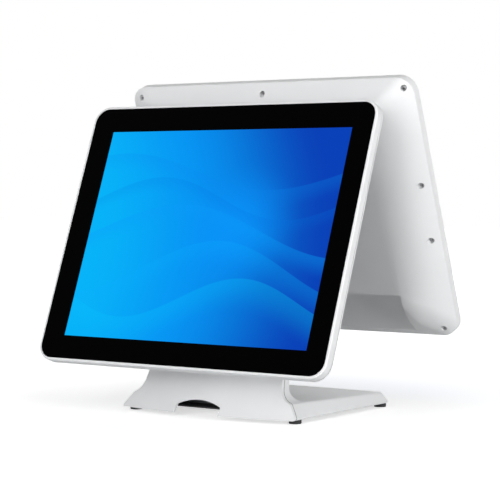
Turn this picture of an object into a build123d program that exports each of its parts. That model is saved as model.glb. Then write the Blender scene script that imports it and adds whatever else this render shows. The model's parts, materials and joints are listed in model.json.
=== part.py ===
from build123d import *
import os
from math import cos, radians, sin, tan

# Two-sided touchscreen till: two tilting display heads on one hollow stand.
# Millimetres, +Z up. The operator looks along +Y at the front head, the
# customer looks along -Y at the rear head. The origin is on the floor, in the
# middle of the space the terminal takes up.

# ---- display stack, each depth measured back from the glass -----------------
PICTURE_WIDTH, PICTURE_HEIGHT = 304.1, 228.1   # 15 inch, 4:3
SIDE_BORDER, END_BORDER = 25.1, 25.4
PICTURE_SHIFT = (1.9, -0.5)    # picture's middle from the glass's middle
GLASS_RADIUS, GLASS_THICKNESS, GLASS_CHAMFER = 15.5, 1.8, 0.25
GASKET_THICKNESS = 0.8
CELL_MARGIN, CELL_THICKNESS = 2.0, 1.6
MODULE_WIDTH, MODULE_HEIGHT, MODULE_THICKNESS = 326.5, 253.5, 9.0

# ---- head housing -----------------------------------------------------------
RIM = 2.8
FRAME_DEPTH = 8.5
FRAME_WALL = 2.5
LEDGE_THICKNESS = 2.2
COVER_DEPTH = 33.0
COVER_WALL = 2.5
COVER_LIP = 2.0
COVER_SLOPE = 36.0          # between the sloping flank and the glass
COVER_CORNER_RADIUS = 26.0
COVER_BLEND = 70.0
SEAM_CHAMFER = 0.3
SEAM_WIDTH, SEAM_DEPTH = 0.6, 1.0
SHEET = 1.0                 # chassis sheet
WINDOW_WIDTH, WINDOW_MARGIN, WINDOW_RADIUS = 34.0, 12.0, 8.0
CLEARANCE = 0.3
SCREW_PLAY = 0.2

# ---- connector bay in the rear cover ----------------------------------------
BAY_HALF_WIDTH, BAY_TOP = 132.0, -88.0
BAY_FLOOR_GAP = 0.3
PORT_WINDOW_WIDTH, PORT_WINDOW_MARGIN = 176.0, 1.6
PORT_PLATE_THICKNESS, PORT_PLATE_MARGIN = 1.0, 6.0

# ---- cover screws and vents -------------------------------------------------
TOP_SCREW_INSET, TOP_SCREW_DROP = 12.5, 10.4
TOP_SCREW_SHIFT = -2.9
BOTTOM_SCREW_INSET, BOTTOM_SCREW_RISE = 14.1, 10.2
SIDE_SCREW_INSET, SIDE_SCREW_PITCH, SIDE_SCREW_V = 9.0, 60.4, -1.8
POST_DIAMETER, PILOT_DIAMETER = 7.0, 2.6
SCREW_DIAMETER, SCREW_HEAD_DIAMETER, SCREW_HEAD_HEIGHT = 2.5, 5.2, 2.0
RECESS_DIAMETER, RECESS_FLOOR = 6.4, 2.6
VENT_LENGTH, VENT_WIDTH, VENT_PITCH, VENT_ROWS = 24.0, 2.6, 6.0, 16
VENT_EDGE = 5.0             # between the vents and the bridge's side

# ---- boards -----------------------------------------------------------------
STANDOFF_HEIGHT, STANDOFF_DIAMETER, STANDOFF_INSET = 2.2, 6.0, 6.0
BOARD_THICKNESS = 1.6
MAIN_BOARD_HEIGHT, BOARD_SIDE_GAP = 150.0, 3.0
SCALER_WIDTH, SCALER_HEIGHT = 120.0, 70.0
PROCESSOR_SIZE, PROCESSOR_THICKNESS, PROCESSOR_V = 32.0, 1.4, 8.0
SINK_SIZE, SINK_BASE, FIN_THICKNESS, FIN_PITCH, FIN_COUNT = 72.0, 3.0, 1.2, 6.0, 12
DRIVE_WIDTH, DRIVE_HEIGHT, DRIVE_THICKNESS, DRIVE_RADIUS = 69.9, 100.0, 7.0, 3.0
DRIVE_GAP, DRIVE_FLANK_GAP = 1.5, 3.0

# ---- head mount -------------------------------------------------------------
MOUNT_PITCH = 100.0
BRIDGE_THICKNESS, BRIDGE_HEIGHT = 2.0, 124.0
BRACKET_SIZE, BRACKET_THICKNESS, BRACKET_RADIUS = 118.0, 3.0, 12.0
EAR_OUTSIDE = 47.0
EAR_FOOT = 58.0
MOUNT_SCREW_DIAMETER, MOUNT_HEAD_DIAMETER, MOUNT_HEAD_HEIGHT = 4.0, 7.4, 2.6

# ---- friction hinges --------------------------------------------------------
HINGE_DEPTH = 49.0          # hinge axis behind the glass
LEAN = 20.75
FRONT_HINGE_HEIGHT, REAR_HINGE_HEIGHT = 169.8, 197.1
HINGE_SPACING = 77.1
SHAFT_DIAMETER, SHAFT_PROUD, SHAFT_CHAMFER = 8.0, 1.5, 0.6
RUNNING_GAP = 0.05
KNUCKLE_RADIUS = 9.0
WASHER_THICKNESS, WASHER_DIAMETER = 1.0, 17.0
CHEEK_THICKNESS = 5.0
SPRING_STACK = 2.4
NUT_WIDTH, NUT_THICKNESS = 13.0, 6.5

# ---- stand ------------------------------------------------------------------
PAD_HEIGHT, PAD_DIAMETER, PAD_EDGE = 4.0, 13.0, 0.8
FOOT_FRONT_HALF_WIDTH, FOOT_BACK_HALF_WIDTH = 110.3, 106.0
FOOT_FRONT, FOOT_BACK = -96.0, 114.0
FOOT_CORNER_RADIUS, FOOT_EDGE_RADIUS = 12.0, 1.8
DECK_FRONT_HALF_WIDTH, DECK_BACK_HALF_WIDTH = 98.5, 104.0
DECK_BACK = 101.0
DECK_CORNER_RADIUS = 10.0
DECK_FRONT_HEIGHT, DECK_BACK_HEIGHT = 20.8, 16.0
DECK_EDGE_RADIUS = 3.5
FRONT_BOTTOM = -92.5        # middle of the bowed front edge
NECK_START = 41.6           # above this the neck is straight
NECK_TOP = 148.0
NECK_HALF_WIDTH, NECK_TOP_HALF_WIDTH = 88.0, 66.0
NECK_FLARE_HEIGHT, NECK_FLARE_RADIUS = 23.5, 17.5
TOE_HALF_WIDTH, TOE_HEIGHT, TOE_RADIUS = 99.0, 19.5, 5.0
TIP_RADIUS = 1.8
NECK_THICKNESS, NECK_ROOT_RADIUS = 32.0, 12.0
NECK_ROOT_SEAT = 2.5        # depth of the blend's seat in the deck
FRONT_BOW_RADIUS, BACK_BOW_RADIUS = 448.0, 328.0
TOE_LEAN = 35.0
PANEL_THICKNESS, PANEL_GAP = 4.0, 0.1
CASTING_WALL = 3.5
NECK_CAP = 8.0
OUTLET_WIDTH, OUTLET_SIDE, OUTLET_RISE = 56.0, 8.3, 5.8
OUTLET_X = -4.0
FRONT_PAD, REAR_PAD = (101.0, -65.5), (98.0, 100.0)
PAD_BOSS_DIAMETER = 16.0
PLATE_THICKNESS, PLATE_FRONT = 1.5, -46.0
PLATE_SCREW_X, PLATE_SCREW_FRONT, PLATE_SCREW_BACK = 84.0, -30.0, 72.0
PLATE_BOSS_DIAMETER = 9.0
PLATE_SCREW_DIAMETER, PLATE_SCREW_LENGTH = 3.0, 8.0
PLATE_HEAD_DIAMETER, PLATE_HEAD_HEIGHT = 5.6, 1.8
BALLAST_WIDTH, BALLAST_DEPTH, BALLAST_THICKNESS = 136.0, 84.0, 6.0
BALLAST_Y, BALLAST_RADIUS, BALLAST_CHAMFER = 22.0, 4.0, 1.0

# ---- hinge carrier ----------------------------------------------------------
CARRIER_HALF_WIDTH, CARRIER_THICKNESS = 56.0, 5.0
CARRIER_EDGE, CARRIER_RADIUS = 0.5, 3.0
CARRIER_VALLEY_RADIUS = 7.0
TIE_DIAMETER = 12.0
CABLE_SLOT_WIDTH, CABLE_SLOT_DEPTH = 60.0, 12.0
CARRIER_BOLT_X, CARRIER_BOLT_PITCH = 38.5, 10.5
CARRIER_BOLT_DIAMETER, CARRIER_HEAD_DIAMETER, CARRIER_HEAD_HEIGHT = 4.0, 7.0, 3.5

# ---- power button -----------------------------------------------------------
BUTTON_V, BUTTON_INSET = -70.0, 12.0
BUTTON_DIAMETER, BUTTON_PROUD, BUTTON_FLANGE_DIAMETER = 9.0, 1.0, 11.0
BUTTON_FLANGE_THICKNESS, BUTTON_STEM_DIAMETER = 0.8, 2.4
BUTTON_TRAVEL, BUTTON_GAP = 0.8, 0.3
SWITCH_SIZE, SWITCH_THICKNESS = 6.0, 2.2

# ---- derived sizes ----------------------------------------------------------
GLASS_WIDTH = PICTURE_WIDTH + 2 * SIDE_BORDER
GLASS_HEIGHT = PICTURE_HEIGHT + 2 * END_BORDER
HEAD_WIDTH = GLASS_WIDTH + 2 * RIM
HEAD_HEIGHT = GLASS_HEIGHT + 2 * RIM
HEAD_RADIUS = GLASS_RADIUS + RIM
LEDGE_BACK = GLASS_THICKNESS + LEDGE_THICKNESS
MODULE_FRONT = GLASS_THICKNESS + GASKET_THICKNESS
MODULE_BACK = MODULE_FRONT + MODULE_THICKNESS
CHASSIS_BACK = MODULE_BACK + SHEET
BAY_FLOOR = CHASSIS_BACK + BAY_FLOOR_GAP + COVER_WALL
BOARD_FRONT = CHASSIS_BACK + STANDOFF_HEIGHT
BOARD_BACK = BOARD_FRONT + BOARD_THICKNESS
COVER_INSIDE = COVER_DEPTH - COVER_WALL
BRACKET_BACK = COVER_DEPTH + BRACKET_THICKNESS
EAR_INSIDE = EAR_OUTSIDE - BRACKET_THICKNESS
CHEEK_INSIDE = EAR_OUTSIDE + WASHER_THICKNESS
CHEEK_OUTSIDE = CHEEK_INSIDE + CHEEK_THICKNESS
NUT_INSIDE = CHEEK_OUTSIDE + SPRING_STACK
NUT_OUTSIDE = NUT_INSIDE + NUT_THICKNESS
FRONT_HINGE = (-HINGE_SPACING / 2, FRONT_HINGE_HEIGHT)
REAR_HINGE = (HINGE_SPACING / 2, REAR_HINGE_HEIGHT)
SCREW_FLOOR = FRAME_DEPTH + RECESS_FLOOR
SIDE_REACH = FOOT_FRONT_HALF_WIDTH + 8
CASTING_REACH = 60.0


def head_plane(facing, hinge):
    """Glass plane of a head: X across, Y up the glass, Z towards its viewer."""
    y, z = hinge
    across = HINGE_DEPTH * cos(radians(LEAN))
    origin = (0, y + facing * across, z + HINGE_DEPTH * sin(radians(LEAN)))
    normal = (0, facing * cos(radians(LEAN)), sin(radians(LEAN)))
    return Plane(origin=origin, x_dir=(-facing, 0, 0), z_dir=normal)


def edge_plane(face):
    """Plane square to the glass: X up the glass, Y towards the viewer."""
    return Plane(origin=face.origin, x_dir=face.y_dir, z_dir=face.x_dir)


HEADS = {"front": head_plane(-1, FRONT_HINGE), "rear": head_plane(1, REAR_HINGE)}


def save(part, name):
    part.label = name
    export_step(part, f"parts/{name}.step")


# ============================ display heads ==================================
def flank_inset(depth, wall):
    """How far the cover's sloping flank has come in from the head's outline."""
    slope = radians(COVER_SLOPE)
    return (depth - FRAME_DEPTH - COVER_LIP) / tan(slope) + wall / sin(slope)


def housing_volume(face, wall):
    """Space inside the rear cover's outline, drawn in by a wall thickness."""
    lip = FRAME_DEPTH + COVER_LIP - wall * tan(radians(45 - COVER_SLOPE / 2))
    back = COVER_DEPTH - wall
    inset = flank_inset(back, wall)
    corner = COVER_CORNER_RADIUS - wall / 2
    with BuildPart() as volume:
        with BuildSketch(face.offset(-FRAME_DEPTH)):
            RectangleRounded(HEAD_WIDTH - 2 * wall, HEAD_HEIGHT - 2 * wall, HEAD_RADIUS - wall)
        extrude(amount=FRAME_DEPTH - lip)
        with BuildSketch(face.offset(-lip)):
            RectangleRounded(HEAD_WIDTH - 2 * wall, HEAD_HEIGHT - 2 * wall, HEAD_RADIUS - wall)
        with BuildSketch(face.offset(-back)):
            RectangleRounded(HEAD_WIDTH - 2 * inset, HEAD_HEIGHT - 2 * inset, corner)
        loft(ruled=True)
        crown = volume.faces().sort_by(Axis(face.origin, face.z_dir))[0]
        fillet(crown.edges(), COVER_BLEND - wall)
    return volume.part


def screw_points():
    """Cover screws: four corners, two on each side and one at the top."""
    top = HEAD_HEIGHT / 2 - TOP_SCREW_DROP
    bottom = BOTTOM_SCREW_RISE - HEAD_HEIGHT / 2
    points = [(0, top)]
    for side in (-1, 1):
        points.append((side * (HEAD_WIDTH / 2 - TOP_SCREW_INSET) + TOP_SCREW_SHIFT, top))
        points.append((side * (HEAD_WIDTH / 2 - BOTTOM_SCREW_INSET), bottom))
        for step in (-SIDE_SCREW_PITCH / 2, SIDE_SCREW_PITCH / 2):
            points.append((side * (HEAD_WIDTH / 2 - SIDE_SCREW_INSET), SIDE_SCREW_V + step))
    return points


def drive_centre():
    """The drive lies beside the bridge, just clear of the sloping flank."""
    inside = flank_inset(CHASSIS_BACK + DRIVE_THICKNESS, COVER_WALL)
    return HEAD_WIDTH / 2 - inside - DRIVE_FLANK_GAP - DRIVE_WIDTH / 2


def bridge_width():
    return 2 * (drive_centre() - DRIVE_WIDTH / 2 - DRIVE_GAP)


def vent_offset():
    return bridge_width() / 2 - VENT_EDGE - VENT_LENGTH / 2


def mount_points():
    half = MOUNT_PITCH / 2
    return [(s * half, t * half) for s in (-1, 1) for t in (-1, 1)]


def button_plane(face):
    """On the cover's side flank: origin on its surface, Z pointing out."""
    slope = radians(COVER_SLOPE)
    depth = FRAME_DEPTH + COVER_LIP + BUTTON_INSET * tan(slope)
    u = HEAD_WIDTH / 2 - BUTTON_INSET
    normal = face.x_dir * sin(slope) - face.z_dir * cos(slope)
    return Plane(origin=face.from_local_coords((u, BUTTON_V, -depth)), x_dir=face.y_dir, z_dir=normal)


def cover_glass(face):
    with BuildPart() as glass:
        with BuildSketch(face):
            RectangleRounded(GLASS_WIDTH, GLASS_HEIGHT, GLASS_RADIUS)
        extrude(amount=-GLASS_THICKNESS)
        front = glass.faces().sort_by(Axis(face.origin, face.z_dir))[-1]
        chamfer(front.edges(), GLASS_CHAMFER)
    return glass.part


def panel_gasket(face):
    with BuildPart() as gasket:
        with BuildSketch(face.offset(-GLASS_THICKNESS)):
            Rectangle(MODULE_WIDTH - 2 * CLEARANCE, MODULE_HEIGHT - 2 * CLEARANCE)
            with Locations(PICTURE_SHIFT):
                Rectangle(PICTURE_WIDTH + 2 * CELL_MARGIN, PICTURE_HEIGHT + 2 * CELL_MARGIN,
                          mode=Mode.SUBTRACT)
        extrude(amount=-GASKET_THICKNESS)
    return gasket.part


def display_cell(face):
    """Liquid crystal cell, lit from behind, sunk in the backlight's frame."""
    with BuildPart() as cell:
        with BuildSketch(face.offset(-MODULE_FRONT)):
            with Locations(PICTURE_SHIFT):
                Rectangle(PICTURE_WIDTH + CELL_MARGIN, PICTURE_HEIGHT + CELL_MARGIN)
        extrude(amount=-CELL_THICKNESS)
    return cell.part


def backlight_unit(face):
    with BuildPart() as unit:
        with BuildSketch(face.offset(-MODULE_FRONT)):
            Rectangle(MODULE_WIDTH, MODULE_HEIGHT)
        extrude(amount=-MODULE_THICKNESS)
        with BuildSketch(face.offset(-MODULE_FRONT)):
            with Locations(PICTURE_SHIFT):
                Rectangle(PICTURE_WIDTH + CELL_MARGIN, PICTURE_HEIGHT + CELL_MARGIN)
        extrude(amount=-CELL_THICKNESS, mode=Mode.SUBTRACT)
    return unit.part


def head_rim(face):
    """White rim around the glass, with the ledge that carries it."""
    with BuildPart() as frame:
        with BuildSketch(face):
            RectangleRounded(HEAD_WIDTH, HEAD_HEIGHT, HEAD_RADIUS)
        extrude(amount=-FRAME_DEPTH)
        across = Axis(face.origin, face.z_dir)
        fillet(frame.faces().sort_by(across)[-1].edges(), RIM / 2)
        chamfer(frame.faces().sort_by(across)[0].edges(), SEAM_CHAMFER)
        with BuildSketch(face):
            RectangleRounded(GLASS_WIDTH + CLEARANCE, GLASS_HEIGHT + CLEARANCE, GLASS_RADIUS)
        extrude(amount=-GLASS_THICKNESS, mode=Mode.SUBTRACT)
        with BuildSketch(face):
            Rectangle(MODULE_WIDTH + 2 * CLEARANCE, MODULE_HEIGHT + 2 * CLEARANCE)
        extrude(amount=-FRAME_DEPTH, mode=Mode.SUBTRACT)
        with BuildSketch(face.offset(-LEDGE_BACK)):
            RectangleRounded(HEAD_WIDTH - 2 * FRAME_WALL, HEAD_HEIGHT - 2 * FRAME_WALL,
                             HEAD_RADIUS - FRAME_WALL)
            with Locations(*screw_points()):
                Circle(POST_DIAMETER / 2, mode=Mode.SUBTRACT)
        extrude(amount=LEDGE_BACK - FRAME_DEPTH, mode=Mode.SUBTRACT)
        with BuildSketch(face.offset(-FRAME_DEPTH)):
            with Locations(*screw_points()):
                Circle(PILOT_DIAMETER / 2)
        extrude(amount=FRAME_DEPTH - LEDGE_BACK, mode=Mode.SUBTRACT)
    return frame.part


def chassis(face):
    """Pressed steel tray that clamps the display module to the ledge."""
    width = MODULE_WIDTH + 2 * (CLEARANCE + SHEET)
    height = MODULE_HEIGHT + 2 * (CLEARANCE + SHEET)
    with BuildPart() as tray:
        with BuildSketch(face.offset(-LEDGE_BACK)):
            Rectangle(width, height)
        extrude(amount=LEDGE_BACK - CHASSIS_BACK)
        with BuildSketch(face.offset(-LEDGE_BACK)):
            Rectangle(width - 2 * SHEET, height - 2 * SHEET)
        extrude(amount=LEDGE_BACK - MODULE_BACK, mode=Mode.SUBTRACT)
        with BuildSketch(face.offset(-MODULE_BACK)):
            with GridLocations(width - WINDOW_WIDTH - 2 * WINDOW_MARGIN, 0, 2, 1):
                RectangleRounded(WINDOW_WIDTH, height - WINDOW_WIDTH - 2 * WINDOW_MARGIN, WINDOW_RADIUS)
        extrude(amount=-SHEET, mode=Mode.SUBTRACT)
    return tray.part


def head_shell(face, has_button):
    """Moulded shell: sloping flanks, crowned back, connector bay, vents and
    recessed screws."""
    with BuildPart() as hollow:
        add(housing_volume(face, COVER_WALL))
        with BuildSketch(face.offset(-FRAME_DEPTH)):
            with Locations(*screw_points()):
                Circle(POST_DIAMETER / 2)
        extrude(amount=-COVER_DEPTH, mode=Mode.SUBTRACT)
        with BuildSketch(face.offset(COVER_WALL - BAY_FLOOR)):
            with Locations((0, BAY_TOP + COVER_WALL)):
                Rectangle(2 * (BAY_HALF_WIDTH + COVER_WALL), HEAD_HEIGHT,
                          align=(Align.CENTER, Align.MAX))
        extrude(amount=-COVER_DEPTH, mode=Mode.SUBTRACT)
    with BuildPart() as cover:
        add(housing_volume(face, 0))
        with BuildSketch(face.offset(-FRAME_DEPTH)):
            RectangleRounded(HEAD_WIDTH, HEAD_HEIGHT, HEAD_RADIUS)
            RectangleRounded(HEAD_WIDTH - 2 * SEAM_DEPTH, HEAD_HEIGHT - 2 * SEAM_DEPTH,
                             HEAD_RADIUS - SEAM_DEPTH, mode=Mode.SUBTRACT)
        extrude(amount=-SEAM_WIDTH, mode=Mode.SUBTRACT)
        add(hollow.part, mode=Mode.SUBTRACT)
        with BuildSketch(face.offset(-BAY_FLOOR)):
            with Locations((0, BAY_TOP)):
                Rectangle(2 * BAY_HALF_WIDTH, HEAD_HEIGHT, align=(Align.CENTER, Align.MAX))
        extrude(amount=-COVER_DEPTH, mode=Mode.SUBTRACT)
        with BuildSketch(face.offset(-SCREW_FLOOR)):
            with Locations(*screw_points()):
                Circle(RECESS_DIAMETER / 2)
        extrude(amount=-COVER_DEPTH, mode=Mode.SUBTRACT)
        with BuildSketch(face.offset(-FRAME_DEPTH)):
            with Locations(*screw_points()):
                Circle(SCREW_DIAMETER / 2 + SCREW_PLAY)
        extrude(amount=-RECESS_FLOOR, mode=Mode.SUBTRACT)
        with BuildSketch(face.offset(-COVER_INSIDE)):
            with GridLocations(2 * vent_offset(), VENT_PITCH, 2, VENT_ROWS):
                SlotOverall(VENT_LENGTH, VENT_WIDTH)
            with Locations(*mount_points()):
                Circle(MOUNT_SCREW_DIAMETER / 2 + SCREW_PLAY)
        extrude(amount=-COVER_WALL, mode=Mode.SUBTRACT)
        with BuildSketch(bay_wall_plane(face)):
            port_window()
        extrude(amount=-COVER_WALL, mode=Mode.SUBTRACT)
        if has_button:
            with BuildSketch(button_plane(face)):
                Circle(BUTTON_DIAMETER / 2 + BUTTON_GAP)
            extrude(amount=2 * COVER_WALL, both=True, mode=Mode.SUBTRACT)
    return cover.part


def bay_wall_plane(face):
    """Upper wall of the connector bay: X across, Y back from the glass."""
    origin = face.from_local_coords((0, BAY_TOP, 0))
    return Plane(origin=origin, x_dir=-face.x_dir, z_dir=-face.y_dir)


def port_window():
    low = BAY_FLOOR + PORT_WINDOW_MARGIN
    high = COVER_INSIDE - PORT_WINDOW_MARGIN
    with Locations((0, (low + high) / 2)):
        RectangleRounded(PORT_WINDOW_WIDTH, high - low, 1.0)


# Sockets: width, height, opening width, opening height and length.
SOCKETS = {
    "power": (11.0, 11.0, 6.4, 6.4, 12.0),
    "video": (16.4, 7.0, 14.2, 4.8, 11.0),
    "usb": (13.8, 7.4, 12.4, 5.0, 14.0),
    "network": (16.6, 12.0, 12.0, 8.2, 16.0),
}
SOCKET_GAP, SOCKET_CLEARANCE = 5.0, 0.2
BAY_SOCKETS = {
    "front": ("power", "video", "usb", "usb", "usb", "usb", "network"),
    "rear": ("power", "video", "usb"),
}
# Contact tongue inside each socket: its width and how far off centre it lies.
TONGUE_THICKNESS = 1.4
TONGUES = {"power": (1.4, 0.0), "video": (11.0, 0.0), "usb": (10.6, 1.1), "network": (9.6, 3.4)}


def socket_places(side):
    """Each socket's kind and centre, spread evenly along the bay wall."""
    kinds = BAY_SOCKETS[side]
    total = sum(SOCKETS[kind][0] for kind in kinds) + SOCKET_GAP * (len(kinds) - 1)
    x = -total / 2
    places = []
    for kind in kinds:
        width, height = SOCKETS[kind][:2]
        places.append((kind, (x + width / 2, BOARD_BACK + height / 2)))
        x += width + SOCKET_GAP
    return places


def socket_mouth(kind, clearance=0.0, mode=Mode.ADD):
    width, height = (size + 2 * clearance for size in SOCKETS[kind][2:4])
    if kind == "power":
        Circle(width / 2, mode=mode)
    else:
        Rectangle(width, height, mode=mode)


def port_plate(face, side):
    """Steel plate behind the bay wall, pierced for every socket."""
    inner = bay_wall_plane(face).offset(-COVER_WALL)
    low = CHASSIS_BACK + CLEARANCE
    high = COVER_INSIDE - CLEARANCE
    with BuildPart() as plate:
        with BuildSketch(inner):
            with Locations((0, (low + high) / 2)):
                Rectangle(PORT_WINDOW_WIDTH + 2 * PORT_PLATE_MARGIN, high - low)
            for kind, place in socket_places(side):
                with Locations(place):
                    socket_mouth(kind, SOCKET_CLEARANCE, Mode.SUBTRACT)
        extrude(amount=-PORT_PLATE_THICKNESS)
    return plate.part


def port_sockets(face, side):
    mouth = bay_wall_plane(face).offset(-COVER_WALL - PORT_PLATE_THICKNESS)
    with BuildPart() as sockets:
        for kind, place in socket_places(side):
            width, height, _, _, length = SOCKETS[kind]
            with BuildSketch(mouth):
                with Locations(place):
                    Rectangle(width, height)
            extrude(amount=-length)
            with BuildSketch(mouth):
                with Locations(place):
                    socket_mouth(kind)
            extrude(amount=SHEET - length, mode=Mode.SUBTRACT)
            tongue_width, tongue_offset = TONGUES[kind]
            x, y = place
            with BuildSketch(mouth.offset(SHEET - length)):
                with Locations((x, y + tongue_offset)):
                    Rectangle(tongue_width, TONGUE_THICKNESS)
            extrude(amount=length - 3 * SHEET)
    return sockets.part


def circuit_board(face, width, height):
    """Board on the chassis, its lower edge at the port plate."""
    low = BAY_TOP + COVER_WALL + PORT_PLATE_THICKNESS + CLEARANCE
    with BuildPart() as board:
        with BuildSketch(face.offset(-BOARD_FRONT)):
            with Locations((0, low)):
                Rectangle(width, height, align=(Align.CENTER, Align.MIN))
        extrude(amount=-BOARD_THICKNESS)
    return board.part


def standoffs(face, width, height):
    low = BAY_TOP + COVER_WALL + PORT_PLATE_THICKNESS + CLEARANCE
    with BuildPart() as posts:
        with BuildSketch(face.offset(-CHASSIS_BACK)):
            with Locations((0, low + height / 2)):
                with GridLocations(width - 2 * STANDOFF_INSET, height - 2 * STANDOFF_INSET, 2, 2):
                    Circle(STANDOFF_DIAMETER / 2)
        extrude(amount=-STANDOFF_HEIGHT)
    return posts.part


def processor(face):
    with BuildPart() as chip:
        with BuildSketch(face.offset(-BOARD_BACK)):
            with Locations((0, PROCESSOR_V)):
                Rectangle(PROCESSOR_SIZE, PROCESSOR_SIZE)
        extrude(amount=-PROCESSOR_THICKNESS)
    return chip.part


def heat_sink(face):
    base = BOARD_BACK + PROCESSOR_THICKNESS
    fins = base + SINK_BASE
    with BuildPart() as sink:
        with BuildSketch(face.offset(-base)):
            with Locations((0, PROCESSOR_V)):
                Rectangle(SINK_SIZE, SINK_SIZE)
        extrude(amount=-SINK_BASE)
        with BuildSketch(face.offset(-fins)):
            with Locations((0, PROCESSOR_V)):
                with GridLocations(FIN_PITCH, 0, FIN_COUNT, 1):
                    Rectangle(FIN_THICKNESS, SINK_SIZE)
        extrude(amount=fins - COVER_INSIDE + BRIDGE_THICKNESS + CLEARANCE)
    return sink.part


def storage_drive(face):
    with BuildPart() as drive:
        with BuildSketch(face.offset(-CHASSIS_BACK)):
            with Locations((-drive_centre(), 0)):
                RectangleRounded(DRIVE_WIDTH, DRIVE_HEIGHT, DRIVE_RADIUS)
        extrude(amount=-DRIVE_THICKNESS)
    return drive.part


def mount_bridge(face):
    """Folded steel bridge that carries the head's weight past the board."""
    plate_front = COVER_INSIDE - BRIDGE_THICKNESS
    with BuildPart() as bridge:
        with BuildSketch(face.offset(-CHASSIS_BACK)):
            Rectangle(bridge_width(), BRIDGE_HEIGHT)
        extrude(amount=CHASSIS_BACK - COVER_INSIDE)
        with BuildSketch(face.offset(-CHASSIS_BACK)):
            Rectangle(bridge_width() - 2 * BRIDGE_THICKNESS, BRIDGE_HEIGHT)
        extrude(amount=CHASSIS_BACK - plate_front, mode=Mode.SUBTRACT)
        with BuildSketch(face.offset(-plate_front)):
            with GridLocations(2 * vent_offset(), 0, 2, 1):
                RectangleRounded(VENT_LENGTH + VENT_WIDTH, VENT_PITCH * VENT_ROWS, VENT_WIDTH)
            with Locations(*mount_points()):
                Circle(MOUNT_SCREW_DIAMETER / 2 + RUNNING_GAP)
        extrude(amount=-BRIDGE_THICKNESS, mode=Mode.SUBTRACT)
    return bridge.part


def head_bracket(face):
    """Steel plate on the back of a head, with two ears for the hinge shaft."""
    side = edge_plane(face)
    with BuildPart() as bracket:
        with BuildSketch(face.offset(-COVER_DEPTH)):
            RectangleRounded(BRACKET_SIZE, BRACKET_SIZE, BRACKET_RADIUS)
            with Locations(*mount_points()):
                Circle(MOUNT_SCREW_DIAMETER / 2 + SCREW_PLAY, mode=Mode.SUBTRACT)
        extrude(amount=-BRACKET_THICKNESS)
        for inner in (EAR_INSIDE, -EAR_OUTSIDE):
            with BuildSketch(side.offset(inner)):
                with Locations((0, -COVER_DEPTH - BRACKET_THICKNESS / 2)):
                    Rectangle(EAR_FOOT, BRACKET_THICKNESS)
                with Locations((0, -HINGE_DEPTH)):
                    Circle(KNUCKLE_RADIUS)
                make_hull()
                with Locations((0, -HINGE_DEPTH)):
                    Circle(SHAFT_DIAMETER / 2 + RUNNING_GAP, mode=Mode.SUBTRACT)
            extrude(amount=BRACKET_THICKNESS)
    return bracket.part


def screws(plane, points, diameter, length, head_diameter, head_height):
    """Screws driven along the plane's -Z, their heads seated on it."""
    with BuildPart() as group:
        with BuildSketch(plane):
            with Locations(*points):
                Circle(head_diameter / 2)
        extrude(amount=head_height)
        crowns = group.faces().group_by(Axis(plane.origin, plane.z_dir))[-1]
        chamfer(crowns.edges(), head_height / 4)
        with BuildSketch(plane):
            with Locations(*points):
                Circle(diameter / 2)
        extrude(amount=-length)
    return group.part


def power_button(face):
    flank = button_plane(face)
    flange = COVER_WALL + BUTTON_GAP
    with BuildPart() as button:
        with BuildSketch(flank.offset(BUTTON_PROUD)):
            Circle(BUTTON_DIAMETER / 2)
        extrude(amount=-BUTTON_PROUD - flange)
        fillet(button.faces().sort_by(Axis(flank.origin, flank.z_dir))[-1].edges(), BUTTON_PROUD / 2)
        with BuildSketch(flank.offset(-flange)):
            Circle(BUTTON_FLANGE_DIAMETER / 2)
        extrude(amount=-BUTTON_FLANGE_THICKNESS)
        with BuildSketch(flank.offset(-flange)):
            Circle(BUTTON_STEM_DIAMETER / 2)
        extrude(amount=-BUTTON_FLANGE_THICKNESS - 2 * BUTTON_TRAVEL)
    return button.part


def power_switch(face):
    """Switch under the button: its bore takes the button's stem."""
    depth = COVER_WALL + 2 * BUTTON_GAP + BUTTON_FLANGE_THICKNESS + BUTTON_TRAVEL
    top = button_plane(face).offset(-depth)
    with BuildPart() as switch:
        with BuildSketch(top):
            Rectangle(SWITCH_SIZE, SWITCH_SIZE)
            Circle(BUTTON_STEM_DIAMETER / 2 + BUTTON_GAP, mode=Mode.SUBTRACT)
        extrude(amount=-SWITCH_THICKNESS)
    return switch.part


def build_head(side, face):
    has_button = side == "front"
    save(cover_glass(face), f"{side}_cover_glass")
    save(panel_gasket(face), f"{side}_panel_gasket")
    save(display_cell(face), f"{side}_display_cell")
    save(backlight_unit(face), f"{side}_backlight_unit")
    save(head_rim(face), f"{side}_head_rim")
    save(chassis(face), f"{side}_chassis")
    save(head_shell(face, has_button), f"{side}_head_shell")
    save(port_plate(face, side), f"{side}_port_plate")
    save(port_sockets(face, side), f"{side}_port_sockets")
    save(mount_bridge(face), f"{side}_mount_bridge")
    save(head_bracket(face), f"{side}_hinge_bracket")
    back = Plane(face.from_local_coords((0, 0, -SCREW_FLOOR)), face.x_dir, -face.z_dir)
    mirrored = [(u, -v) for u, v in screw_points()]
    cover_screws = screws(back, mirrored, SCREW_DIAMETER, SCREW_FLOOR - LEDGE_BACK - CLEARANCE,
                          SCREW_HEAD_DIAMETER, SCREW_HEAD_HEIGHT)
    save(cover_screws, f"{side}_cover_screws")
    outside = Plane(face.from_local_coords((0, 0, -BRACKET_BACK)), face.x_dir, -face.z_dir)
    mount_screws = screws(outside, mount_points(), MOUNT_SCREW_DIAMETER,
                          BRACKET_BACK - COVER_INSIDE + BRIDGE_THICKNESS,
                          MOUNT_HEAD_DIAMETER, MOUNT_HEAD_HEIGHT)
    save(mount_screws, f"{side}_bracket_screws")


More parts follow.
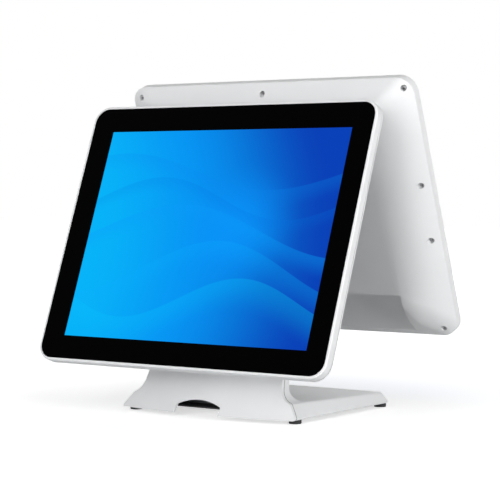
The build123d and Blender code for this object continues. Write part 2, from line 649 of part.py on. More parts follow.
def build_electronics():
    front, rear = HEADS["front"], HEADS["rear"]
    board_width = bridge_width() - 2 * (BRIDGE_THICKNESS + BOARD_SIDE_GAP)
    save(circuit_board(front, board_width, MAIN_BOARD_HEIGHT), "main_board")
    save(standoffs(front, board_width, MAIN_BOARD_HEIGHT), "main_board_standoffs")
    save(processor(front), "processor")
    save(heat_sink(front), "heat_sink")
    save(storage_drive(front), "storage_drive")
    save(power_button(front), "power_button")
    save(power_switch(front), "power_switch")
    save(circuit_board(rear, SCALER_WIDTH, SCALER_HEIGHT), "display_board")
    save(standoffs(rear, SCALER_WIDTH, SCALER_HEIGHT), "display_board_standoffs")


# ================================ hinges =====================================
def hinge_axis(hinge):
    """Plane across the hinge's middle: Z along the shaft."""
    return Plane(origin=(0, *hinge), x_dir=(0, 1, 0), z_dir=(1, 0, 0))


def hinge_shaft(hinge):
    half = NUT_OUTSIDE + SHAFT_PROUD
    with BuildPart() as shaft:
        with BuildSketch(hinge_axis(hinge)):
            Circle(SHAFT_DIAMETER / 2)
        extrude(amount=half, both=True)
        ends = shaft.faces().filter_by(GeomType.PLANE)
        chamfer(ends.edges(), SHAFT_CHAMFER)
    return shaft.part


def hinge_discs(hinge, inside, thickness, diameter):
    """A matching pair of discs on the shaft, one at each cheek."""
    with BuildPart() as discs:
        for start in (inside, -inside - thickness):
            with BuildSketch(hinge_axis(hinge).offset(start)):
                Circle(diameter / 2)
                Circle(SHAFT_DIAMETER / 2 + RUNNING_GAP, mode=Mode.SUBTRACT)
            extrude(amount=thickness)
    return discs.part


def hinge_nuts(hinge):
    with BuildPart() as nuts:
        for start in (NUT_INSIDE, -NUT_OUTSIDE):
            with BuildSketch(hinge_axis(hinge).offset(start)):
                RegularPolygon(NUT_WIDTH / 2, 6, major_radius=False)
                Circle(SHAFT_DIAMETER / 2 + RUNNING_GAP, mode=Mode.SUBTRACT)
            extrude(amount=NUT_THICKNESS)
    return nuts.part


def carrier_span():
    """Middle and depth of the largest rectangle that the neck's top can seat."""
    front = front_line(NECK_TOP) + PANEL_THICKNESS + bow(FRONT_BOW_RADIUS, CARRIER_HALF_WIDTH)
    back = front_line(NECK_TOP) + NECK_THICKNESS - bow(BACK_BOW_RADIUS, CARRIER_HALF_WIDTH)
    return (front + back) / 2, back - front - 2 * CARRIER_EDGE


def hinge_carrier():
    """Plate on the neck with two forked cheeks and a tie tube between them."""
    y, depth = carrier_span()
    top = NECK_TOP + CARRIER_THICKNESS
    with BuildPart() as carrier:
        with BuildSketch(Plane.XY.offset(NECK_TOP)):
            with Locations((0, y)):
                RectangleRounded(2 * CARRIER_HALF_WIDTH, depth, CARRIER_RADIUS)
                SlotOverall(CABLE_SLOT_WIDTH, CABLE_SLOT_DEPTH, mode=Mode.SUBTRACT)
                with GridLocations(2 * CARRIER_BOLT_X, CARRIER_BOLT_PITCH, 2, 2):
                    Circle(CARRIER_BOLT_DIAMETER / 2 + CLEARANCE, mode=Mode.SUBTRACT)
        extrude(amount=CARRIER_THICKNESS)
        for inner in (CHEEK_INSIDE, -CHEEK_OUTSIDE):
            with BuildSketch(Plane.YZ.offset(inner)):
                for hinge in (FRONT_HINGE, REAR_HINGE):
                    with Locations(hinge):
                        knuckle = Circle(KNUCKLE_RADIUS)
                    with Locations((y, NECK_TOP + CARRIER_THICKNESS / 2)):
                        foot = Rectangle(depth, CARRIER_THICKNESS)
                    make_hull(knuckle.edges() + foot.edges())
                valley = vertices().sort_by(Axis.Y).filter_by_position(Axis.Y, top + 1, FRONT_HINGE[1])
                fillet(valley.sort_by_distance((y, top))[0], CARRIER_VALLEY_RADIUS)
                with Locations(FRONT_HINGE, REAR_HINGE):
                    Circle(SHAFT_DIAMETER / 2 + RUNNING_GAP, mode=Mode.SUBTRACT)
            extrude(amount=CHEEK_THICKNESS)
        with BuildSketch(Plane.YZ):
            with Locations(((y + REAR_HINGE[0]) / 2, (top + REAR_HINGE[1]) / 2)):
                Circle(TIE_DIAMETER / 2)
        extrude(amount=CHEEK_INSIDE, both=True)
    return carrier.part


def carrier_bolt_points():
    return [(s * CARRIER_BOLT_X, t * CARRIER_BOLT_PITCH / 2) for s in (-1, 1) for t in (-1, 1)]


def carrier_bolts():
    y = carrier_span()[0]
    return screws(Plane((0, y, NECK_TOP + CARRIER_THICKNESS)), carrier_bolt_points(),
                  CARRIER_BOLT_DIAMETER, CARRIER_THICKNESS + NECK_CAP - 1,
                  CARRIER_HEAD_DIAMETER, CARRIER_HEAD_HEIGHT)


def build_hinges():
    for side, hinge in (("front", FRONT_HINGE), ("rear", REAR_HINGE)):
        save(hinge_shaft(hinge), f"{side}_hinge_shaft")
        washers = hinge_discs(hinge, EAR_OUTSIDE, WASHER_THICKNESS, WASHER_DIAMETER)
        save(washers, f"{side}_friction_washers")
        springs = hinge_discs(hinge, CHEEK_OUTSIDE, SPRING_STACK, WASHER_DIAMETER - 2)
        save(springs, f"{side}_spring_washers")
        save(hinge_nuts(hinge), f"{side}_hinge_nuts")
    save(hinge_carrier(), "hinge_carrier")
    save(carrier_bolts(), "carrier_bolts")


# ================================= stand =====================================
def front_line(z):
    """Middle of the stand's front: a toe that steepens into a straight neck."""
    toe, neck = tan(radians(TOE_LEAN)), tan(radians(LEAN))
    rise = min(z, NECK_START) - PAD_HEIGHT
    bend = (toe - neck) * rise**2 / (2 * (NECK_START - PAD_HEIGHT))
    return FRONT_BOTTOM + toe * rise - bend + neck * max(0, z - NECK_START)


def bow(radius, half_width):
    return radius - (radius**2 - half_width**2) ** 0.5


def strip(start, end, half_width, crowned=False):
    """Sheet that follows the stand's bowed front, from one depth behind it to
    another. Its back is parallel to the front, or crowned like the neck's."""
    toe = [PAD_HEIGHT + (NECK_START - PAD_HEIGHT) * step / 4 for step in range(5)]
    neck = [NECK_START, NECK_TOP]
    front_bow = bow(FRONT_BOW_RADIUS, half_width)
    back_bow = -bow(BACK_BOW_RADIUS, half_width) if crowned else front_bow
    with BuildPart() as sheet:
        for levels in (toe, neck):
            for z in levels:
                front = front_line(z) + start
                back = front_line(z) + end
                with BuildSketch(Plane.XY.offset(z)):
                    with BuildLine():
                        near = ThreePointArc((-half_width, front + front_bow), (0, front),
                                             (half_width, front + front_bow))
                        far = ThreePointArc((half_width, back + back_bow), (0, back),
                                            (-half_width, back + back_bow))
                        Line(near @ 1, far @ 0)
                        Line(far @ 1, near @ 0)
                    make_face()
            loft(ruled=levels is neck)
    return sheet.part


def outline_block(inset, top):
    """The stand's front view, drawn in by an inset and run through in depth."""
    half = [
        (FOOT_FRONT_HALF_WIDTH, PAD_HEIGHT),
        (TOE_HALF_WIDTH, TOE_HEIGHT),
        (NECK_HALF_WIDTH, NECK_FLARE_HEIGHT),
        (NECK_TOP_HALF_WIDTH, NECK_TOP),
    ]
    corners = half + [(-x, z) for x, z in reversed(half)]
    with BuildPart() as block:
        with BuildSketch(Plane.XZ.offset(-FOOT_BACK)):
            Polygon(*corners, align=None)
            for height, radius in (
                (NECK_FLARE_HEIGHT, NECK_FLARE_RADIUS),
                (TOE_HEIGHT, TOE_RADIUS),
                (PAD_HEIGHT, TIP_RADIUS),
            ):
                level = vertices().filter_by_position(Axis.Y, height - 0.1, height + 0.1)
                fillet(level, radius)
            if inset:
                offset(amount=-inset, mode=Mode.REPLACE)
        extrude(amount=2 * FOOT_BACK)
        split(bisect_by=Plane.XY.offset(top), keep=Keep.BOTTOM)
    return block.part


def foot_outline(front_half, back_half, front, back, radius):
    corners = [(-front_half, front), (front_half, front), (back_half, back), (-back_half, back)]
    Polygon(*corners, align=None)
    fillet(vertices().group_by(Axis.Y)[-1], radius)


def deck_plane(wall):
    """The foot's sloping deck: origin at its front, Y running back along it."""
    drop = DECK_FRONT_HEIGHT - DECK_BACK_HEIGHT
    run = DECK_BACK - FOOT_FRONT
    origin = (0, FOOT_FRONT, DECK_FRONT_HEIGHT - wall)
    return Plane(origin=origin, x_dir=(1, 0, 0), z_dir=(0, drop, run))


def foot_volume(wall):
    """Wedge-shaped foot whose deck falls away towards the back."""
    run = DECK_BACK - FOOT_FRONT
    with BuildPart() as volume:
        with BuildSketch(Plane.XY.offset(PAD_HEIGHT)):
            foot_outline(FOOT_FRONT_HALF_WIDTH - wall, FOOT_BACK_HALF_WIDTH - wall,
                         FOOT_FRONT, FOOT_BACK - wall, FOOT_CORNER_RADIUS - wall)
        with BuildSketch(deck_plane(wall)):
            foot_outline(DECK_FRONT_HALF_WIDTH - wall, DECK_BACK_HALF_WIDTH - wall,
                         0, run - 1.5 * wall, DECK_CORNER_RADIUS - wall)
        loft(ruled=True)
        if not wall:
            deck_edges = volume.faces().sort_by(Axis.Z)[-1].edges().sort_by(Axis.Y)
            fillet(deck_edges[1:], DECK_EDGE_RADIUS)
            foot_edges = volume.faces().sort_by(Axis.Z)[0].edges().sort_by(Axis.Y)
            fillet(foot_edges[1:], FOOT_EDGE_RADIUS)
    return volume.part


def pad_points():
    return [(s * x, y) for s in (-1, 1) for x, y in (FRONT_PAD, REAR_PAD)]


def plate_screw_points():
    return [(s * PLATE_SCREW_X, y) for s in (-1, 1) for y in (PLATE_SCREW_FRONT, PLATE_SCREW_BACK)]


def stand_hollow():
    """Cable duct up the neck, joined to the space inside the foot."""
    with BuildPart() as hollow:
        add(strip(-1, NECK_THICKNESS - CASTING_WALL, NECK_HALF_WIDTH, crowned=True))
        add(outline_block(CASTING_WALL, NECK_TOP - NECK_CAP), mode=Mode.INTERSECT)
        add(foot_volume(CASTING_WALL))
        with BuildSketch(Plane.XY.offset(PAD_HEIGHT)):
            with Locations(*pad_points()):
                Circle(PAD_BOSS_DIAMETER / 2)
        extrude(amount=DECK_FRONT_HEIGHT, mode=Mode.SUBTRACT)
        with BuildSketch(Plane.XY.offset(PAD_HEIGHT + PLATE_THICKNESS)):
            with Locations(*plate_screw_points()):
                Circle(PLATE_BOSS_DIAMETER / 2)
        extrude(amount=DECK_FRONT_HEIGHT, mode=Mode.SUBTRACT)
    return hollow.part


def neck_volume():
    """Neck with a crowned back, blended into the deck that it rises from."""
    root = Vector(0, front_line(DECK_FRONT_HEIGHT) + NECK_THICKNESS, DECK_FRONT_HEIGHT)
    seat = root.Y - FOOT_FRONT + 3 * NECK_ROOT_RADIUS
    with BuildPart() as neck:
        add(strip(0, NECK_THICKNESS, TOE_HALF_WIDTH, crowned=True))
        with BuildSketch(deck_plane(0)):
            Rectangle(2 * TOE_HALF_WIDTH, seat, align=(Align.CENTER, Align.MIN))
        extrude(amount=-NECK_ROOT_SEAT)
        fillet(neck.edges().sort_by_distance(root)[0], NECK_ROOT_RADIUS)
        add(outline_block(0, NECK_TOP), mode=Mode.INTERSECT)
    return neck.part


def stand_casting():
    """Hollow cast foot and neck, open at the front under its panel."""
    y = carrier_span()[0]
    with BuildPart() as casting:
        add(neck_volume())
        add(foot_volume(0))
        add(stand_hollow(), mode=Mode.SUBTRACT)
        add(strip(-CASTING_REACH, PANEL_THICKNESS, SIDE_REACH), mode=Mode.SUBTRACT)
        with BuildSketch(Plane.XY.offset(NECK_TOP)):
            with Locations((0, y)):
                SlotOverall(CABLE_SLOT_WIDTH, CABLE_SLOT_DEPTH)
                with GridLocations(2 * CARRIER_BOLT_X, CARRIER_BOLT_PITCH, 2, 2):
                    Circle(CARRIER_BOLT_DIAMETER / 2 + RUNNING_GAP)
        extrude(amount=-NECK_CAP, mode=Mode.SUBTRACT)
        with BuildSketch(Plane.XY.offset(PAD_HEIGHT + PLATE_THICKNESS)):
            with Locations(*plate_screw_points()):
                Circle(PLATE_SCREW_DIAMETER / 2 + RUNNING_GAP)
        extrude(amount=PLATE_SCREW_LENGTH, mode=Mode.SUBTRACT)
    return casting.part


def stand_front_panel():
    """Bowed front of the stand, notched at the bottom for the cables."""
    with BuildPart() as panel:
        add(strip(0, PANEL_THICKNESS - PANEL_GAP, SIDE_REACH))
        add(outline_block(0, NECK_TOP), mode=Mode.INTERSECT)
        crown = PAD_HEIGHT + OUTLET_SIDE
        left, right = OUTLET_X - OUTLET_WIDTH / 2, OUTLET_X + OUTLET_WIDTH / 2
        with BuildSketch(Plane.XZ.offset(-FOOT_BACK)):
            with BuildLine():
                arch = ThreePointArc((left, crown), (OUTLET_X, crown + OUTLET_RISE), (right, crown))
                Polyline(arch @ 1, (right, 0), (left, 0), arch @ 0)
            make_face()
        extrude(amount=2 * FOOT_BACK, mode=Mode.SUBTRACT)
    return panel.part


def base_plate():
    """Steel plate that closes the foot behind the cable outlet."""
    with BuildPart() as plate:
        add(foot_volume(CASTING_WALL + CLEARANCE))
        split(bisect_by=Plane.XY.offset(PAD_HEIGHT + PLATE_THICKNESS), keep=Keep.BOTTOM)
        split(bisect_by=Plane.XZ.offset(-PLATE_FRONT), keep=Keep.BOTTOM)
        with BuildSketch(Plane.XY.offset(PAD_HEIGHT)):
            with Locations(*pad_points()):
                Circle(PAD_BOSS_DIAMETER / 2 + CLEARANCE)
            with Locations(*plate_screw_points()):
                Circle(PLATE_SCREW_DIAMETER / 2 + CLEARANCE)
        extrude(amount=PLATE_THICKNESS, mode=Mode.SUBTRACT)
    return plate.part


def ballast_plate():
    with BuildPart() as ballast:
        with BuildSketch(Plane.XY.offset(PAD_HEIGHT + PLATE_THICKNESS)):
            with Locations((0, BALLAST_Y)):
                RectangleRounded(BALLAST_WIDTH, BALLAST_DEPTH, BALLAST_RADIUS)
        extrude(amount=BALLAST_THICKNESS)
        chamfer(ballast.faces().sort_by(Axis.Z)[-1].edges(), BALLAST_CHAMFER)
    return ballast.part


def rubber_pads():
    with BuildPart() as pads:
        with BuildSketch(Plane.XY.offset(PAD_HEIGHT)):
            with Locations(*pad_points()):
                Circle(PAD_DIAMETER / 2)
        extrude(amount=-PAD_HEIGHT)
        fillet(pads.faces().group_by(Axis.Z)[0].edges(), PAD_EDGE)
    return pads.part


def build_stand():
    save(stand_casting(), "stand_casting")
    save(stand_front_panel(), "stand_front_panel")
    save(base_plate(), "base_plate")
    save(ballast_plate(), "ballast_plate")
    save(rubber_pads(), "rubber_pads")
    under = Plane(origin=(0, 0, PAD_HEIGHT), x_dir=(1, 0, 0), z_dir=(0, 0, -1))
    points = [(x, -y) for x, y in plate_screw_points()]
    plate_screws = screws(under, points, PLATE_SCREW_DIAMETER, PLATE_THICKNESS + PLATE_SCREW_LENGTH - 1,
                          PLATE_HEAD_DIAMETER, PLATE_HEAD_HEIGHT)
    save(plate_screws, "plate_screws")


if __name__ == "__main__":
    os.makedirs("parts", exist_ok=True)
    for side, face in HEADS.items():
        build_head(side, face)
    build_electronics()
    build_hinges()
    build_stand()
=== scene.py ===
import json
from math import cos, pi, radians, sin

import bmesh
import bpy
from mathutils import Matrix, Vector


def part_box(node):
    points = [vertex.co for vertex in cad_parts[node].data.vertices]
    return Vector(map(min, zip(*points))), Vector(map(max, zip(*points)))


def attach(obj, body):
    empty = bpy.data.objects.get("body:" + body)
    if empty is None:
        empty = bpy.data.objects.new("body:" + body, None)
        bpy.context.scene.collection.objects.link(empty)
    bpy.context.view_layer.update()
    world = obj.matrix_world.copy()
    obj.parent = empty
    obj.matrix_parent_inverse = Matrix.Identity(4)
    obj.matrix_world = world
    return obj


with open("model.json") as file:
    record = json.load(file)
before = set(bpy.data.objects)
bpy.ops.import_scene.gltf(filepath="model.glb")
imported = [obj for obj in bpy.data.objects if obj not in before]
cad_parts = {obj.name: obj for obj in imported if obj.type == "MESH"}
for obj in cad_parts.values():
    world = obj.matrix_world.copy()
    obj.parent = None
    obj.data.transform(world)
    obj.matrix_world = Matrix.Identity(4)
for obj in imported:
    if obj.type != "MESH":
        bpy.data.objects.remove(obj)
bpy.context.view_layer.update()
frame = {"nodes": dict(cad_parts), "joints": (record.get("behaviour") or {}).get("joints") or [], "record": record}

# ------------------------------ driving sizes --------------------------------
LEAN = radians(20.75)                   # both glasses lean back by this
HINGE_DEPTH = 0.049                     # hinge axis behind the glass
PICTURE_WIDTH, PICTURE_HEIGHT = 0.3026, 0.2274
PICTURE_SHIFT = (0.0026, -0.0011)       # picture's middle from the glass's middle
OUTLET_REACH = 0.05                     # the cable outlet stays this near the middle
SAME_SPOT = 1e-6                        # corners this close are one corner
SAME_LEVEL = 0.00002                    # corners this close in height are one face's

WHITE = (0.80, 0.807, 0.815)
BLACK = (0.012, 0.012, 0.013)


class Head:
    """A display head's own axes at rest: across, up the glass and out of it."""

    def __init__(self, side, facing):
        joint = next(j for j in frame["joints"] if j["child"] == f"{side}_head")
        self.side = side
        self.body = f"{side}_head"
        self.across = Vector((-facing, 0, 0))
        self.up = Vector((0, -facing * sin(LEAN), cos(LEAN)))
        self.out = Vector((0, facing * cos(LEAN), sin(LEAN)))
        self.glass = Vector(joint["pos_m"]) + HINGE_DEPTH * self.out

    def matrix(self, u=0.0, v=0.0, depth=0.0, outward=True):
        """Local axes at a point: Z out of the glass, or out of the back."""
        z = self.out if outward else -self.out
        x = self.across if outward else -self.across
        place = self.glass + u * self.across + v * self.up - depth * self.out
        axes = Matrix((x, self.up, z)).transposed().to_4x4()
        return Matrix.Translation(place) @ axes


HEADS = {"front": Head("front", -1), "rear": Head("rear", 1)}


# ------------------------------ node helpers ---------------------------------
class Graph:
    """Short ways to add and link shader nodes in one material."""

    def __init__(self, name):
        self.material = bpy.data.materials.new(name)
        self.material.use_nodes = True
        self.nodes = self.material.node_tree.nodes
        self.links = self.material.node_tree.links
        self.bsdf = self.nodes["Principled BSDF"]

    def put(self, socket, value):
        """Links a socket's value, or sets a plain one."""
        if isinstance(value, bpy.types.NodeSocket):
            self.links.new(value, socket)
        else:
            socket.default_value = value

    def math(self, operation, *values):
        node = self.nodes.new("ShaderNodeMath")
        node.operation = operation
        for socket, value in zip(node.inputs, values):
            self.put(socket, value)
        return node.outputs[0]

    def vector(self, operation, *values):
        node = self.nodes.new("ShaderNodeVectorMath")
        node.operation = operation
        for socket, value in zip(node.inputs, values):
            self.put(socket, value)
        return node.outputs["Value" if operation in ("DOT_PRODUCT", "LENGTH") else "Vector"]

    def place(self):
        """Where a point is, in the frame's metres at rest."""
        return self.nodes.new("ShaderNodeTexCoord").outputs["Object"]

    def noise(self, scale, detail=2.0, stretch=(1, 1, 1), distortion=0.0):
        mapping = self.nodes.new("ShaderNodeMapping")
        mapping.inputs["Scale"].default_value = stretch
        self.links.new(self.place(), mapping.inputs["Vector"])
        node = self.nodes.new("ShaderNodeTexNoise")
        node.inputs["Scale"].default_value = scale
        node.inputs["Detail"].default_value = detail
        node.inputs["Distortion"].default_value = distortion
        self.links.new(mapping.outputs[0], node.inputs["Vector"])
        return node.outputs["Fac"]

    def remap(self, value, low, high, to_low=0.0, to_high=1.0, smooth=False):
        node = self.nodes.new("ShaderNodeMapRange")
        node.interpolation_type = "SMOOTHSTEP" if smooth else "LINEAR"
        for socket, number in zip(node.inputs, (value, low, high, to_low, to_high)):
            self.put(socket, number)
        return node.outputs[0]

    def mix(self, factor, a, b):
        """Blends two colours, each a socket or three numbers."""
        node = self.nodes.new("ShaderNodeMix")
        node.data_type = "RGBA"
        self.put(node.inputs["Factor"], factor)
        # sockets 6 and 7 are the colour inputs, and output 2 is the colour
        for socket, colour in ((node.inputs[6], a), (node.inputs[7], b)):
            linked = isinstance(colour, bpy.types.NodeSocket)
            self.put(socket, colour if linked else (*colour, 1.0))
        return node.outputs[2]

    def tones(self, factor, colour, darker, lighter):
        """Blends a colour's darker tone into its lighter one."""
        return self.mix(factor, scaled(colour, darker), scaled(colour, lighter))

    def rough(self, grain, low, high, middle, less, more):
        """A roughness round its middle that follows a grain."""
        return self.remap(grain, low, high, middle - less, middle + more)

    def bump(self, height, distance, strength):
        node = self.nodes.new("ShaderNodeBump")
        node.inputs["Distance"].default_value = distance
        node.inputs["Strength"].default_value = strength
        self.links.new(height, node.inputs["Height"])
        self.links.new(node.outputs[0], self.bsdf.inputs["Normal"])

    def surface(self, **values):
        """Sets the shader's sockets, named with _ for each space."""
        for name, value in values.items():
            self.put(self.bsdf.inputs[name.replace("_", " ")], value)


def scaled(colour, factor):
    return tuple(channel * factor for channel in colour)


# ------------------------------- materials -----------------------------------
def moulded_white(name, colour, roughness=0.42, grain=2600.0):
    """Satin white plastic with a fine spark-eroded texture."""
    g = Graph(name)
    cloud = g.remap(g.noise(scale=9.0, detail=3.0), low=0.3, high=0.7)
    fine = g.noise(grain, detail=4.0)
    g.surface(Base_Color=g.tones(cloud, colour, darker=0.985, lighter=1.01),
              Roughness=g.rough(fine, 0.25, 0.75, roughness, less=0.05, more=0.06))
    g.bump(fine, distance=0.00004, strength=0.35)
    return g.material


def powder_coat(name, colour, roughness, grain=1500.0):
    """Paint over metal with the slight orange peel of powder coat."""
    g = Graph(name)
    peel = g.noise(grain, detail=1.5)
    g.surface(Base_Color=g.tones(peel, colour, darker=0.97, lighter=1.03),
              Roughness=g.rough(peel, 0.2, 0.8, roughness, less=0.04, more=0.05))
    g.bump(peel, distance=0.00008, strength=0.3)
    return g.material


def metal(name, colour, roughness, stretch=(1, 1, 1), grain=300.0):
    """Bare or plated metal with drawn streaks and faint darker patches."""
    g = Graph(name)
    streaks = g.noise(grain, detail=5.0, stretch=stretch)
    patches = g.remap(g.noise(scale=25.0, detail=3.0), low=0.4, high=0.7)
    streaked = g.tones(streaks, colour, darker=0.9, lighter=1.05)
    patch_colour = scaled(colour, 0.88)
    g.surface(Base_Color=g.mix(patches, streaked, patch_colour), Metallic=1.0,
              Roughness=g.rough(streaks, 0.2, 0.8, roughness, less=0.08, more=0.1))
    g.bump(streaks, distance=0.00002, strength=0.4)
    return g.material


def matt(name, colour=BLACK, roughness=0.75, grain=900.0, depth=0.00015):
    """Rubber, foam, print or another plain surface with a grain."""
    g = Graph(name)
    grains = g.noise(grain, detail=4.0)
    g.surface(Base_Color=g.tones(grains, colour, darker=0.8, lighter=1.4),
              Roughness=g.rough(grains, 0.2, 0.8, roughness, less=0.08, more=0.1))
    g.bump(grains, distance=depth, strength=0.4)
    return g.material


def smooth_plastic(name, colour=BLACK, roughness=0.45, depth=0.00003):
    """Small moulded or printed parts, with a finer grain."""
    return matt(name, colour, roughness, grain=2000.0, depth=depth)


CYAN, AZURE, DEEP_BLUE = (0.001, 0.45, 0.94), (0.001, 0.30, 0.90), (0.002, 0.052, 0.48)
SWEEP_BEND, SWEEP_TILT = 0.35, 0.12     # how the sweep's edge curves and slants
TO_AZURE, TO_DEEP_BLUE = (-0.50, 0.02), (-0.10, 0.52)   # where each blend starts and ends
GLOW_BLUE = (0.002, 0.31, 1.0)
GLOW_U, GLOW_V, GLOW_SQUASH = 0.13, 0.03, 0.8
GLOW_REACH, GLOW_STRENGTH = 0.27, 0.72
CREST_WIDTH = 0.004                     # a ribbon's soft upper edge
BORDER_BLACK = scaled(BLACK, 0.04)
GLASS_SHINE = 0.008                     # low, as the photograph's glass reflects little
# ribbons: height on the picture, swing, waves across, phase, half width, strength, tint
RIBBONS = (
    (-0.30, 0.10, 1.05, 0.3, 0.16, 0.22, (0.002, 0.56, 1.0)),
    (-0.16, 0.13, 0.85, 1.2, 0.12, 0.20, (0.002, 0.42, 1.0)),
    (0.02, 0.12, 0.75, 2.1, 0.10, 0.30, (0.002, 0.33, 0.95)),
    (0.17, 0.10, 0.95, 2.9, 0.08, 0.18, (0.00, 0.16, 0.72)),
    (0.30, 0.09, 0.80, 3.6, 0.10, 0.20, (0.002, 0.24, 0.85)),
)


def picture_colour(g, head):
    """A generic screen picture: a blue sweep crossed by soft wide ribbons.
    Returns its colour and a mask that is 1 inside the picture."""
    centre = head.glass + PICTURE_SHIFT[0] * head.across + PICTURE_SHIFT[1] * head.up
    from_centre = g.vector("SUBTRACT", g.place(), tuple(centre))
    # u and v run from -0.5 to 0.5 over the picture
    u = g.math("DIVIDE", g.vector("DOT_PRODUCT", from_centre, tuple(head.across)), PICTURE_WIDTH)
    v = g.math("DIVIDE", g.vector("DOT_PRODUCT", from_centre, tuple(head.up)), PICTURE_HEIGHT)
    # the sweep, from cyan on the left to deep blue on the right
    bend = g.math("MULTIPLY", g.math("MULTIPLY", v, v), SWEEP_BEND)
    sweep = g.math("ADD", g.math("ADD", u, bend), g.math("MULTIPLY", v, SWEEP_TILT))
    colour = g.mix(g.remap(sweep, *TO_AZURE, smooth=True), CYAN, AZURE)
    colour = g.mix(g.remap(sweep, *TO_DEEP_BLUE, smooth=True), colour, DEEP_BLUE)
    # a soft glow right of the middle
    aside = g.math("SUBTRACT", u, GLOW_U)
    above = g.math("MULTIPLY", g.math("SUBTRACT", v, GLOW_V), GLOW_SQUASH)
    squares = [g.math("MULTIPLY", offset, offset) for offset in (aside, above)]
    reach = g.math("SQRT", g.math("ADD", *squares))
    glow = g.remap(reach, 0.0, GLOW_REACH, GLOW_STRENGTH, 0.0, smooth=True)
    colour = g.mix(glow, colour, GLOW_BLUE)
    for height, swing, waves, phase, half, strength, tint in RIBBONS:
        wave = g.math("SINE", g.math("ADD", g.math("MULTIPLY", u, waves * 2 * pi), phase))
        lift = g.math("ADD", g.math("MULTIPLY", wave, swing), height)
        above = g.math("SUBTRACT", v, lift)
        crest = g.remap(above, 0.0, CREST_WIDTH, 1.0, 0.0, smooth=True)
        ribbon = g.remap(above, -half, 0.0, 0.0, strength, smooth=True)
        colour = g.mix(g.math("MULTIPLY", crest, ribbon), colour, tint)
    margins = [g.math("SUBTRACT", 0.5, g.math("ABSOLUTE", offset)) for offset in (u, v)]
    inside = g.math("MULTIPLY", *[g.math("GREATER_THAN", margin, 0.0) for margin in margins])
    return colour, inside


def screen_glass(head):
    """Cover glass, printed black outside the lit picture."""
    g = Graph(f"{head.side}_screen")
    colour, inside = picture_colour(g, head)
    smear = g.noise(scale=60.0, detail=4.0, distortion=0.6)
    g.surface(Base_Color=(*BORDER_BLACK, 1.0),
              Emission_Color=g.mix(inside, (0, 0, 0), colour),
              Emission_Strength=1.0, Specular_IOR_Level=GLASS_SHINE,
              Roughness=g.remap(smear, 0.3, 0.8, to_low=0.04, to_high=0.09))
    return g.material


TRACK_SCALE, TRACK_GAP = 260.0, (0.05, 0.09)    # cells to a metre, their edges' width
MASK_GREEN, TRACK_GREEN = (0.005, 0.075, 0.03), (0.03, 0.21, 0.08)


def circuit_board(name):
    """Green solder mask over a maze of fine copper tracks."""
    g = Graph(name)
    distances = []
    for feature in ("F1", "F2"):
        cells = g.nodes.new("ShaderNodeTexVoronoi")
        cells.distance = "CHEBYCHEV"
        cells.feature = feature
        cells.inputs["Scale"].default_value = TRACK_SCALE
        g.links.new(g.place(), cells.inputs["Vector"])
        distances.append(cells.outputs["Distance"])
    gap = g.math("SUBTRACT", distances[1], distances[0])
    tracks = g.remap(gap, *TRACK_GAP, to_low=1.0, to_high=0.0)
    g.surface(Base_Color=g.mix(tracks, MASK_GREEN, TRACK_GREEN), Roughness=0.35)
    g.bump(tracks, distance=0.00004, strength=0.6)
    return g.material


SCREW = metal("plated_screw", (0.42, 0.42, 0.43), 0.34)
ALUMINIUM = metal("bare_aluminium", (0.72, 0.73, 0.75), 0.36, stretch=(1, 8, 1))
ZINC = metal("zinc_plated_sheet", (0.62, 0.64, 0.66), 0.38, stretch=(1, 1, 6))
GOLD = metal("gold_contacts", (0.83, 0.62, 0.25), 0.3)
GREY_STEEL = powder_coat("phosphated_steel", (0.34, 0.34, 0.36), 0.55)
# painted shadow: a dark strip laid along a seam where its shade falls
SHADOW_LINE = matt("shadow_line", (0.10, 0.10, 0.105), roughness=0.9)
# painted shade: near-black floors laid in the screw recesses where shade falls
RECESS_PAINTED_SHADE = matt("recess_painted_shade", (0.02, 0.02, 0.02), roughness=0.9)
LABEL = matt("bare_label", (0.62, 0.63, 0.64), roughness=0.4, grain=700.0, depth=0.00001)
SIGN_GREY = smooth_plastic("sign_grey", (0.16, 0.16, 0.17), roughness=0.5, depth=0.00001)
CONNECTOR = smooth_plastic("cream_connector", (0.62, 0.58, 0.47), roughness=0.5)
CHIP = smooth_plastic("chip_resin")
BOARD = circuit_board("circuit_board")

# the record's material slots
FINISHES = {
    "foam": matt("foam_gasket", roughness=0.9, depth=0.0003),
    "lcd_cell": matt("display_cell", (0.02, 0.03, 0.05), roughness=0.2, depth=0.00001),
    "backlight_case": moulded_white("backlight_case", (0.62, 0.63, 0.65), roughness=0.5),
    "white_shell": moulded_white("satin_white_plastic", WHITE),
    "white_paint": powder_coat("white_powder_coat", WHITE, 0.45),
    "zinc_steel": ZINC,
    "black_steel": powder_coat("black_powder_coat", (0.03, 0.03, 0.033), 0.5),
    "screw_steel": SCREW,
    "socket_plastic": smooth_plastic("black_plastic"),
    "circuit_board": BOARD,
    "chip_black": CHIP,
    "bare_aluminium": ALUMINIUM,
    "button_plastic": moulded_white("button_plastic", scaled(WHITE, 0.93), roughness=0.35),
    "rubber": matt("black_rubber"),
}


def give(obj, material):
    """Gives an object its one material."""
    if not obj.data.materials:
        obj.data.materials.append(material)
    for slot in obj.material_slots:
        slot.material = material


slots = {row["node"]: row["material_slot"] for row in frame["record"]["subparts"]}
for node, obj in frame["nodes"].items():
    if slots[node] in FINISHES:
        give(obj, FINISHES[slots[node]])
give(frame["nodes"]["ballast_plate"], GREY_STEEL)
for head in HEADS.values():
    give(frame["nodes"][f"{head.side}_cover_glass"], screen_glass(head))


# ------------------------ measuring the CAD's nodes --------------------------
def part_middle(part):
    """The middle of the box round some points."""
    return [(min(p[i] for p in part) + max(p[i] for p in part)) / 2 for i in range(3)]


